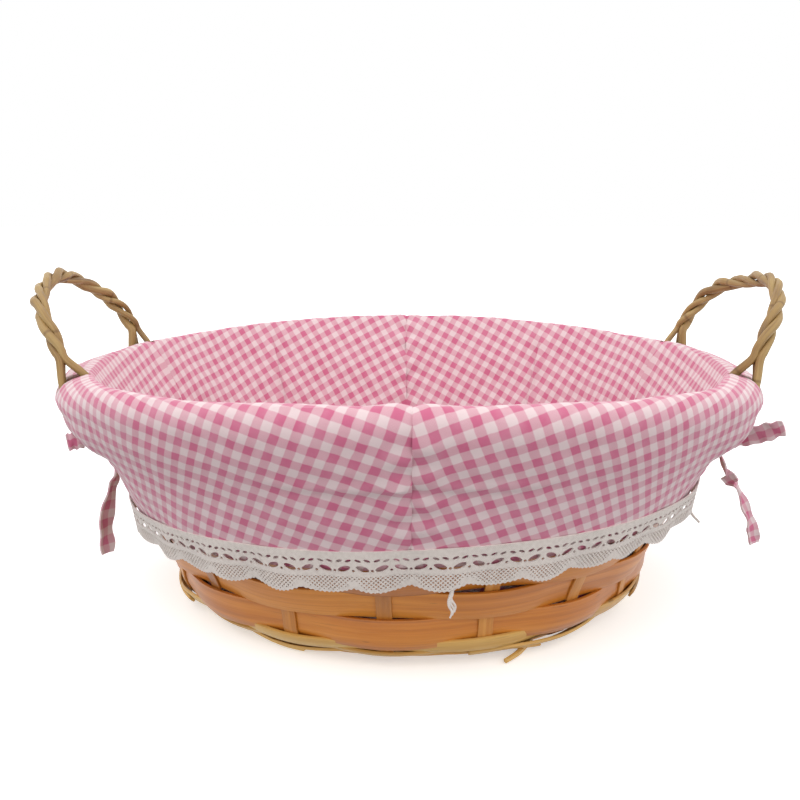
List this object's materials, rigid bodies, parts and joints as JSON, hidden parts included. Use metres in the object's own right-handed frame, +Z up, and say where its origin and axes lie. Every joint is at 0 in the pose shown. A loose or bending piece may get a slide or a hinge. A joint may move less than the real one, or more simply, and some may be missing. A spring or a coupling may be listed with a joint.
{
  "type": "bread basket",
  "caption": "Round woven wood-split bread basket with two twisted rod ears and a checked cotton liner with lace hems, tied over the rim.",
  "frame": {"origin": "On the floor under the middle of the basket.", "axes": "+X runs to the right ear, +Y to the back, +Z up out of the basket's mouth."},
  "size_m": [0.3063, 0.278, 0.1318],
  "materials": {
    "honey_split": "Honey-brown varnished wood split, slightly glossy, with fine lengthwise grain.",
    "pale_split": "Paler varnished thin split with frayed cut ends.",
    "rib_wood": "Varnished wood strip, a little redder and duller than the weavers.",
    "hoop_wood": "Varnished bent wood hoop.",
    "willow": "Peeled willow rod, tan with browner streaks and knots, satin.",
    "gingham": "Pink and white gingham cotton, matt plain weave.",
    "lace_cotton": "Off-white cotton lace and thread, matt."
  },
  "bodies": {
    "root": {"base_round_1": "honey_split", "base_round_2": "honey_split", "base_round_3": "honey_split", "base_round_4": "honey_split", "ear_left_rod_1": "willow", "ear_left_rod_2": "willow", "ear_left_rod_3": "willow", "ear_right_rod_1": "willow", "ear_right_rod_2": "willow", "ear_right_rod_3": "willow", "edge_split_1": "pale_split", "edge_split_2": "pale_split", "edge_split_3": "pale_split", "foot_hoop": "hoop_wood", "lace_back": "lace_cotton", "lace_front": "lace_cotton", "liner_back_left": "gingham", "liner_back_right": "gingham", "liner_bottom": "gingham", "liner_front_left": "gingham", "liner_front_right": "gingham", "rib_1": "rib_wood", "rib_2": "rib_wood", "rib_3": "rib_wood", "rib_4": "rib_wood", "rib_5": "rib_wood", "rib_6": "rib_wood", "rib_7": "rib_wood", "rib_8": "rib_wood", "rib_9": "rib_wood", "rim_hoop_inner": "hoop_wood", "rim_hoop_outer": "hoop_wood", "thread_front": "lace_cotton", "thread_right": "lace_cotton", "tie_left_back": "gingham", "tie_left_front": "gingham", "tie_left_tail": "gingham", "tie_right_back": "gingham", "tie_right_front": "gingham", "tie_right_tail": "gingham", "wall_row_1": "honey_split", "wall_row_2": "honey_split", "wall_row_3": "honey_split", "wall_row_4": "honey_split", "wall_row_5": "honey_split", "wall_row_6": "honey_split", "wall_row_7": "honey_split"}
  },
  "joints": []
}
